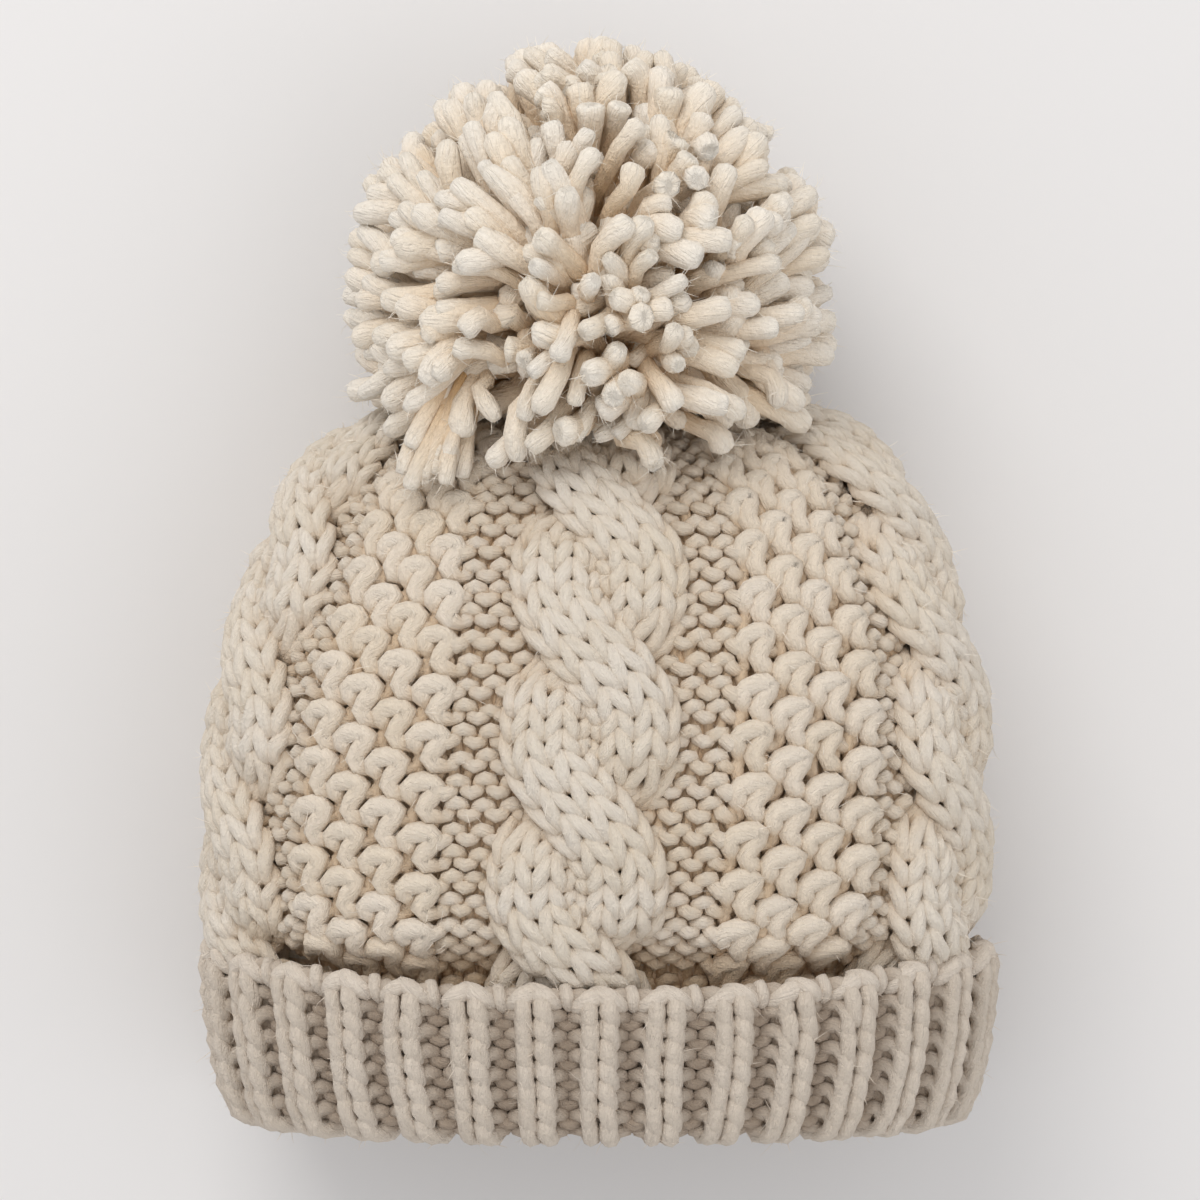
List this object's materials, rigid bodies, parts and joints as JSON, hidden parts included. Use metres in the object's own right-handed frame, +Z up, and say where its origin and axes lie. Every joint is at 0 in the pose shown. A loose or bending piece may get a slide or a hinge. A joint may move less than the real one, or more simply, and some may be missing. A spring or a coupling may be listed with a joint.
{
  "type": "cable knit beanie",
  "caption": "Chunky cream knitted winter hat lying on its back: cables, moss panels, folded ribbed cuff and a large cut-yarn pompom on the gathered top",
  "frame": {"origin": "On the surface that the hat lies on, under the middle of its outline", "axes": "+Y from the brim to the pompom, +X across the hat, +Z up from the surface to the side that the picture shows"},
  "size_m": [0.2252, 0.3047, 0.1332],
  "materials": {
    "crown_wool": "knitted, matt",
    "cuff_wool": "ribbed knit, matt",
    "pompom_wool": "cut yarn, matt",
    "tie_wool": "plain yarn, matt"
  },
  "bodies": {
    "root": {"crown": "crown_wool", "ribbed_cuff": "cuff_wool", "pompom": "pompom_wool", "pompom_tie": "tie_wool"}
  },
  "joints": []
}
